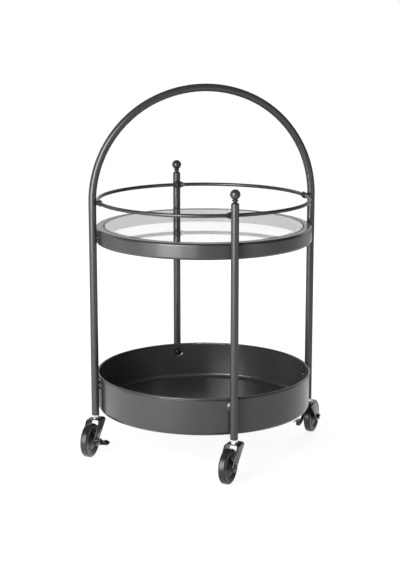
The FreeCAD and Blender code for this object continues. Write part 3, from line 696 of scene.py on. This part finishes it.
@dataclass
class Caster(SubAssembly):
    """One caster: fork, axle, wheel and tyre, with the moulded and turned details of the wheel.

    Sizes are measured in the axle's space: X up, Y along the trail and Z along the axle.
    A corner of the fork's outline is its height over the axle and its place along the trail.
    """

    leg: str
    fork_width_mm: float = 32.0
    fork_sheet_mm: float = 2.5
    fork_edge_mm: float = 2.5 / 6
    fork_bend_mm: float = 6.0
    fork_bend_steps: int = 8
    fork_crown_mm: tuple[tuple[float, float], ...] = (
        (39.0, -50.0), (42.8, -46.5), (42.8, -12.5), (39.0, -7.5))
    fork_knee_rear_mm: tuple[float, float] = (25.0, 2.5)
    fork_knee_lead_mm: tuple[float, float] = (27.0, -48.0)
    boss_r_mm: float = 12.0
    boss_steps: int = 12
    stem_hole_r_mm: float = 4.2
    stem_hole_flats: int = 48
    stem_at_mm: float = -31.0
    tyre_ring_r_mm: float = 0.5
    tyre_ring_at_mm: float = 5.0
    tyre_ring_reach_mm: float = 36.6
    tyre_ring_flats: int = 96
    rib_count: int = 8
    rib_inner_mm: float = 10.5
    rib_outer_mm: float = 24.4
    rib_thick_mm: float = 1.6
    rib_edge_mm: float = 0.4
    rib_top_mm: float = 6.2
    rib_root_mm: float = 4.0
    bolt_r_mm: float = 3.0
    bolt_flats: int = 32
    bolt_edge_mm: float = 0.6
    bolt_tip_mm: float = 1.8
    bolt_seat_mm: float = 20.0

    def fit(self, piece: bpy.types.Object, name: str, slot: str, body: str) -> None:
        """Carry a piece from the axle's space to this caster and put it on.

        Args:
            piece: the finished object in the axle's space.
            name: its name without the caster's.
            slot: the record's material slot.
            body: the body that carries it, without the caster's name.
        """
        settle(piece, self.leg + "_" + name, joint_place(self.leg + "_wheel_roll", UP))
        self.put_on(piece, slot, self.leg + "_" + body)

    def fork_outline(self) -> list[tuple[float, float]]:
        """Outline of the fork's sides: the crown, two knees and the round boss about the axle.

        Returns:
            Its corners once round, in millimetres.
        """
        rear, lead = self.fork_knee_rear_mm, self.fork_knee_lead_mm
        # The sides run straight from each knee to where they touch the boss.
        start = math.atan2(rear[1], rear[0]) + math.acos(self.boss_r_mm / math.hypot(*rear))
        end = math.atan2(lead[1], lead[0]) - math.acos(self.boss_r_mm / math.hypot(*lead)) + 2 * math.pi
        boss = []
        for index in range(self.boss_steps + 1):
            turn = start + (end - start) * index / self.boss_steps
            boss.append((self.boss_r_mm * math.cos(turn), self.boss_r_mm * math.sin(turn)))
        return [*self.fork_crown_mm, rear, *boss, lead]

    def bend_channel(self, corners: list[tuple[float, float]]) -> bpy.types.Object:
        """Bend a channel over the wheel, as long and as high as the fork's outline.

        Args:
            corners: the outline of the fork's sides.

        Returns:
            The channel, a sheet without thickness, in edit mode.
        """
        low, high = min(c[0] for c in corners), max(c[0] for c in corners)
        first, last = min(c[1] for c in corners), max(c[1] for c in corners)
        middle = Vector(((low + high) / 2, (first + last) / 2, 0)) * MM
        deselect_all()
        bpy.ops.mesh.primitive_cube_add(size=1)
        sheet = bpy.context.object
        stretch(sheet, ((high - low) * MM, (last - first) * MM, self.fork_width_mm * MM))
        bpy.ops.transform.translate(value=middle)

        def is_open(face: bpy.types.MeshPolygon) -> bool:
            """Tell whether a face closes the channel below or at an end."""
            return face.normal.x < -FACES_ALONG or abs(face.normal.y) > FACES_ALONG

        def is_fold(edge: bpy.types.MeshEdge) -> bool:
            """Tell whether an edge runs along the trail at the crown's height."""
            one, other = (sheet.data.vertices[index].co for index in edge.vertices)
            return abs(one.x - other.x) < MM and abs(one.z - other.z) < MM and one.x > middle.x

        pick(sheet, Part.FACE, is_open)
        bpy.ops.mesh.delete(type="FACE")
        pick(sheet, Part.EDGE, is_fold)
        bpy.ops.mesh.bevel(offset=self.fork_bend_mm * MM, segments=self.fork_bend_steps, affect="EDGES")
        return sheet

    def folded_fork(self) -> None:
        """Fold the fork over the wheel, trim its sides to their outline and thicken the sheet."""
        corners = self.fork_outline()
        sheet = self.bend_channel(corners)
        for here, there in zip(corners, corners[1:] + corners[:1]):
            bpy.ops.mesh.select_all(action="SELECT")
            bpy.ops.mesh.bisect(plane_co=(here[0] * MM, here[1] * MM, 0), clear_outer=True,
                                plane_no=(there[1] - here[1], here[0] - there[0], 0))
        apply_modifier(sheet, "SOLIDIFY", {"thickness": self.fork_sheet_mm * MM, "offset": -1,
                                           "use_even_offset": True})
        self.drill_crown(sheet)
        soften(sheet, self.fork_edge_mm)
        self.fit(sheet, "fork_sheet", "caster_steel", "swivel")
        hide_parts(self.leg + "_fork")

    def drill_crown(self, sheet: bpy.types.Object) -> None:
        """Drill the hole in which the fork turns about its stem.

        Args:
            sheet: the folded fork in the axle's space.
        """
        crown = max(corner[0] for corner in self.fork_crown_mm)
        deselect_all()
        # The drill is four sheets long, so that it goes right through.
        bpy.ops.mesh.primitive_cylinder_add(vertices=self.stem_hole_flats, radius=self.stem_hole_r_mm * MM,
                                            depth=4 * self.fork_sheet_mm * MM, rotation=(0, math.pi / 2, 0),
                                            location=(crown * MM, self.stem_at_mm * MM, 0))
        drill = bpy.context.object
        apply_modifier(sheet, "BOOLEAN", {"operation": "DIFFERENCE", "object": drill})
        bpy.data.objects.remove(drill)

    def tyre_rings(self) -> None:
        """Mould a fine ring round each shoulder of the tyre."""
        rings = []
        for side in (-1, 1):
            centre = Vector((0, 0, side * self.tyre_ring_at_mm * MM))
            rings.append(rounded_ring(self.tyre_ring_reach_mm, self.tyre_ring_r_mm,
                                      self.tyre_ring_flats, centre))
        self.fit(join(rings), "tyre_rings", "tyre_rubber", "wheel")

    def wheel_ribs(self) -> None:
        """Stand the moulded ribs between hub and rim, on both faces of the web."""
        length = (self.rib_outer_mm - self.rib_inner_mm) * MM
        height = (self.rib_top_mm - self.rib_root_mm) * MM
        middle = (self.rib_outer_mm + self.rib_inner_mm) / 2 * MM
        lift = (self.rib_top_mm + self.rib_root_mm) / 2 * MM
        deselect_all()
        bpy.ops.mesh.primitive_cube_add(size=1)
        rib = bpy.context.object
        stretch(rib, (length, self.rib_thick_mm * MM, height))
        soften(rib, self.rib_edge_mm)
        places = []
        for side in (-1, 1):
            out = Matrix.Translation(Vector((middle, 0, side * lift)))
            for index in range(self.rib_count):
                places.append(Matrix.Rotation(2 * math.pi * index / self.rib_count, 4, "Z") @ out)
        self.fit(join(copies(rib, places)), "wheel_ribs", "wheel_plastic", "wheel")

    def bolt_tip(self) -> None:
        """Let the chamfered end of the axle bolt stand out of its nut."""
        deselect_all()
        bpy.ops.mesh.primitive_cylinder_add(vertices=self.bolt_flats, radius=self.bolt_r_mm * MM,
                                            depth=2 * self.bolt_tip_mm * MM,
                                            location=(0, 0, -self.bolt_seat_mm * MM))
        tip = bpy.context.object
        soften(tip, self.bolt_edge_mm)
        self.fit(tip, "bolt_tip", "bright_zinc", "swivel")

    def model(self) -> None:
        """Model the details of one caster."""
        self.folded_fork()
        self.tyre_rings()
        self.wheel_ribs()
        self.bolt_tip()


@dataclass
class BrakedCaster(Caster):
    """A caster with a brake, whose curved pedal carries moulded grip ribs."""

    grip_count: int = 5
    grip_r_mm: float = 0.7
    grip_edge_mm: float = 0.7 / 3
    grip_flats: int = 20
    grip_length_mm: float = 13.0
    pedal_middle_mm: float = -22.5
    pedal_root_mm: float = 17.5
    pedal_tip_mm: float = 34.0
    pedal_drop_mm: float = -8.0
    pedal_rise_mm: float = 1.8
    pedal_fall_mm: float = 3.4

    def pedal_height(self, share: float) -> float:
        """Height of the pedal's top over the axle, at a share of the way from its root to its tip."""
        bow = 4 * self.pedal_rise_mm
        return self.pedal_drop_mm + (bow - self.pedal_fall_mm) * share - bow * share ** 2

    def pedal_grips(self) -> None:
        """Lay half-sunk round ribs side by side on the pedal."""
        deselect_all()
        bpy.ops.mesh.primitive_cylinder_add(vertices=self.grip_flats, radius=self.grip_r_mm * MM,
                                            depth=self.grip_length_mm * MM, rotation=(math.pi / 2, 0, 0))
        grip = bpy.context.object
        soften(grip, self.grip_edge_mm)
        places = []
        for index in range(self.grip_count):
            share = (index + 1) / (self.grip_count + 1)
            out = self.pedal_root_mm + (self.pedal_tip_mm - self.pedal_root_mm) * share
            seat = Vector((self.pedal_height(share), self.pedal_middle_mm, out)) * MM
            places.append(Matrix.Translation(seat))
        self.fit(join(copies(grip, places)), "pedal_grips", "caster_steel", "brake")

    def model(self) -> None:
        """Model the caster's details and the pedal's grips."""
        super().model()
        self.pedal_grips()


@dataclass(frozen=True)
class Softbox:
    """A rectangular lamp aimed at the cart, placed by angle from the front; lengths are in metres."""

    name: str
    azimuth_deg: float
    elevation_deg: float
    width: float
    power: float
    sheen: bool = True
    height: float = 2.0
    distance: float = 2.6
    aim_height: float = 0.4

    def place(self) -> None:
        """Create the lamp, which lights without a reflection of its own where it has no sheen."""
        data = bpy.data.lights.new(self.name, "AREA")
        data.shape = "RECTANGLE"
        data.size = self.width
        data.size_y = self.height
        data.energy = self.power
        lamp = bpy.data.objects.new(self.name, data)
        bpy.context.scene.collection.objects.link(lamp)
        lamp.visible_glossy = self.sheen
        turn, rise = math.radians(self.azimuth_deg), math.radians(self.elevation_deg)
        aim = Vector((0, 0, self.aim_height))
        away = Vector((math.sin(turn) * math.cos(rise), -math.cos(turn) * math.cos(rise), math.sin(rise)))
        lamp.location = aim + away * self.distance
        lamp.rotation_euler = (aim - lamp.location).to_track_quat("-Z", "Y").to_euler()


@dataclass
class Studio:
    """Pale floor, white backdrop and soft lamps.

    What the camera sees, straight or through the glass, is plain white paper. Reflections see the same
    paper with a painted glow where the lamps' light would pool, a white backdrop behind the cart
    and a dim room.
    Lengths are in metres. side_start, side_end, backdrop_top and backdrop_blur are parts of a
    direction's length along one axis.
    """

    lamps: tuple[Softbox, ...] = (
        Softbox("left_softbox", -49.0, 14.0, width=1.2, power=94.0),
        Softbox("front_scrim", -28.0, 14.0, width=0.5, power=21.0),
        Softbox("left_scrim", -72.0, 14.0, width=0.7, power=11.0),
        Softbox("right_fill", 40.0, 14.0, width=0.8, power=6.0),
        Softbox("rear_left_fill", -146.0, 16.0, width=1.0, power=34.0, sheen=False),
        Softbox("rear_right_fill", 142.0, 16.0, width=1.0, power=46.0, sheen=False),
    )
    floor_half: float = 30.0
    paper_seen: str = "707070"
    paper_lit: str = "b8b8b8"
    glow_near: float = 0.9
    glow_far: float = 1.0
    near: float = 0.5
    far: float = 2.0
    mirror_left: float = 1.2
    mirror_front: float = 0.55
    mirror_right: float = 0.8
    side_start: float = 0.4
    side_end: float = 0.75
    room: float = 0.1
    backdrop_turn_deg: float = 62.0
    backdrop_top: float = 0.62
    backdrop_blur: float = 0.1

    def seen(self, tree: bpy.types.NodeTree) -> bpy.types.NodeSocket:
        """Share that is one for rays that come from the camera, straight or through the glass."""
        rays = add_node(tree, "LightPath").outputs
        return add_node(tree, "Math", {"operation": "MAXIMUM"},
                        {0: rays["Is Camera Ray"], 1: rays["Is Transmission Ray"]}).outputs[0]

    def mirrored(self, tree: bpy.types.NodeTree, place: bpy.types.NodeSocket) -> bpy.types.NodeSocket:
        """Painted glow of the paper in reflections: brightest beside the lamps, fading behind the cart.

        Args:
            tree: the floor's node tree.
            place: the floor's own coordinates.

        Returns:
            The level that glossy rays see, and zero for all others.
        """
        path = add_node(tree, "LightPath")
        away = add_node(tree, "VectorMath", {"operation": "NORMALIZE"}, {0: place})
        axes = add_node(tree, "SeparateXYZ", {}, {0: away.outputs[0]})
        across, ahead = {"Value": axes.outputs["X"]}, {"Value": axes.outputs["Y"]}
        left = add_node(tree, "MapRange",
                        ramp(self.mirror_left, self.mirror_front, -self.side_end, -self.side_start), across)
        extra = self.mirror_right - self.mirror_front
        right = add_node(tree, "MapRange", ramp(0, extra, self.side_start, self.side_end), across)
        sides = add_node(tree, "Math", {"operation": "ADD"}, {0: left.outputs[0], 1: right.outputs[0]})
        front = add_node(tree, "MapRange", ramp(1, 0, self.side_start, self.side_end), ahead)
        # Painted light: the paper glows for glossy rays as if the lamps' light pooled on it.
        glow = add_node(tree, "Math", {"operation": "MULTIPLY"}, {0: sides.outputs[0], 1: front.outputs[0]})
        return add_node(tree, "Math", {"operation": "MULTIPLY"},
                        {0: path.outputs["Is Glossy Ray"], 1: glow.outputs[0]}).outputs[0]

    def paper(self, tree: bpy.types.NodeTree) -> None:
        """Make the floor's paper, which takes the cart's shadow and glows up to white.

        Args:
            tree: the floor's node tree.
        """
        seen = self.seen(tree)
        lit_socket, seen_socket = MIX_COLOURS
        colour = add_node(tree, "Mix", {"data_type": "RGBA", lit_socket: linear(self.paper_lit),
                                        seen_socket: linear(self.paper_seen)}, {MIX_SHARE: seen})
        paper = add_node(tree, "BsdfDiffuse", {}, {"Color": colour.outputs[MIX_BLENDED]})
        place = add_node(tree, "TexCoord")
        reach = add_node(tree, "VectorMath", {"operation": "LENGTH"}, {0: place.outputs["Object"]})
        shown = add_node(tree, "MapRange", ramp(self.glow_near, self.glow_far, self.near, self.far),
                         {"Value": reach.outputs["Value"]})
        mirrored_socket, shown_socket = MIX_NUMBERS
        level = add_node(tree, "Mix", {"data_type": "FLOAT"},
                         {MIX_SHARE: seen, mirrored_socket: self.mirrored(tree, place.outputs["Object"]),
                          shown_socket: shown.outputs[0]})
        glow = add_node(tree, "Emission", {"Color": WHITE}, {"Strength": level.outputs[0]})
        both = add_node(tree, "AddShader", {}, {0: paper.outputs[0], 1: glow.outputs[0]})
        add_node(tree, "OutputMaterial", {}, {"Surface": both.outputs[0]})

    def lay_floor(self) -> None:
        """Lay the floor, which keeps the cart's shadow and still reads as white paper."""
        deselect_all()
        bpy.ops.mesh.primitive_plane_add(size=2 * self.floor_half)
        floor = bpy.context.object
        floor.name = "floor"
        made = bpy.data.materials.new("pale_floor")
        made.use_nodes = True
        made.node_tree.nodes.clear()
        self.paper(made.node_tree)
        floor.data.materials.append(made)

    def backdrop(self, tree: bpy.types.NodeTree) -> bpy.types.NodeSocket:
        """Share that is one where the backdrop stands behind the cart and zero in the room about it.

        Args:
            tree: the world's node tree.

        Returns:
            The share.
        """
        place = add_node(tree, "TexCoord")
        axes = add_node(tree, "SeparateXYZ", {}, {0: place.outputs["Generated"]})
        wide = math.cos(math.radians(self.backdrop_turn_deg))
        top, blur = self.backdrop_top, self.backdrop_blur
        behind = add_node(tree, "MapRange", ramp(0, 1, wide - blur, wide + blur),
                          {"Value": axes.outputs["Y"]})
        below = add_node(tree, "MapRange", ramp(1, 0, top - blur, top + blur),
                         {"Value": axes.outputs["Z"]})
        return add_node(tree, "Math", {"operation": "MULTIPLY"},
                        {0: behind.outputs[0], 1: below.outputs[0]}).outputs[0]

    def light_world(self) -> None:
        """Give the world a dim room light, and the white that the camera and reflections see."""
        world = bpy.data.worlds.new("studio")
        bpy.context.scene.world = world
        world.use_nodes = True
        tree = world.node_tree
        tree.nodes.clear()
        path = add_node(tree, "LightPath")
        paper = add_node(tree, "Math", {"operation": "MULTIPLY"},
                         {0: path.outputs["Is Glossy Ray"], 1: self.backdrop(tree)})
        level = add_node(tree, "Math", {"operation": "MAXIMUM", 1: self.room}, {0: paper.outputs[0]})
        room = add_node(tree, "Background", {"Color": WHITE}, {"Strength": level.outputs[0]})
        white = add_node(tree, "Background", {"Color": WHITE, "Strength": 1.0})
        mix = add_node(tree, "MixShader", {}, {0: self.seen(tree), 1: room.outputs[0], 2: white.outputs[0]})
        add_node(tree, "OutputWorld", {}, {"Surface": mix.outputs[0]})

    def build(self) -> None:
        """Set up floor, world, lamps and the view transform."""
        self.lay_floor()
        self.light_world()
        for lamp in self.lamps:
            lamp.place()
        bpy.context.scene.view_settings.view_transform = "Standard"
        log.info("built the studio")


@dataclass
class PhotoCamera:
    """Camera at the photograph's place: metres from the cart's axis and the floor, lens in millimetres."""

    azimuth_deg: float = -14.888
    distance: float = 3.1598
    height: float = 1.0398
    pitch_deg: float = 12.003
    yaw_deg: float = 0.15
    lens: float = 91.713
    sensor: float = 36.0

    def place(self) -> None:
        """Create the camera and make it the scene's."""
        data = bpy.data.cameras.new("photo_camera")
        data.sensor_width = self.sensor
        data.lens = self.lens
        camera = bpy.data.objects.new("photo_camera", data)
        bpy.context.scene.collection.objects.link(camera)
        turn = math.radians(self.azimuth_deg)
        camera.location = (self.distance * math.sin(turn), -self.distance * math.cos(turn), self.height)
        camera.rotation_euler = (math.radians(90 - self.pitch_deg), 0, turn + math.radians(self.yaw_deg))
        bpy.context.scene.camera = camera
        log.info("placed the camera")


STANDING = ("arch_tube", "front_post", "rear_post", "post_caps", "finials", "rivet_nuts", "leg_inserts")
GALLERY = ("gallery_rail", "gallery_spacers", "gallery_screws")
SHELF = ("shelf_frame", "shelf_spacers", "shelf_screws", "glass_ledge", "glass_pads", "glass_top")
TRAY = ("tray", "tray_washers", "tray_screws")
SWIVELS = ("caster_stems", "stem_nuts", "thrust_washers")
CASTER = ("fork", "axle", "axle_nut", "axle_sleeve", "wheel", "tyre")
BRAKE = ("brake_cam", "brake_lever")


def named(leg: str, parts: tuple[str, ...]) -> tuple[str, ...]:
    """Full names of the nodes of the caster under one leg."""
    return tuple(leg + "_" + part for part in parts)


def main() -> None:
    """Dress the cart, model the added pieces and set the scene."""
    finishes = make_finishes(FINISHES)
    on_tube = finishes | make_finishes(TUBE_FINISHES)
    groups = [
        StandingFrame("standing frame", STANDING, on_tube),
        SubAssembly("gallery rail", GALLERY, on_tube),
        GlassShelf("glass shelf", SHELF, finishes),
        Tray("tray", TRAY, finishes),
        SubAssembly("swivels", SWIVELS, finishes),
        BrakedCaster("left caster", named("left", CASTER + BRAKE), finishes, "left"),
        BrakedCaster("right caster", named("right", CASTER + BRAKE), finishes, "right"),
        Caster("front caster", named("front", CASTER), finishes, "front"),
        Caster("rear caster", named("rear", CASTER), finishes, "rear"),
    ]
    for group in groups:
        group.build()
    Studio().build()
    PhotoCamera().place()


if __name__ == "__main__":
    logging.basicConfig(level=logging.INFO)
    main()
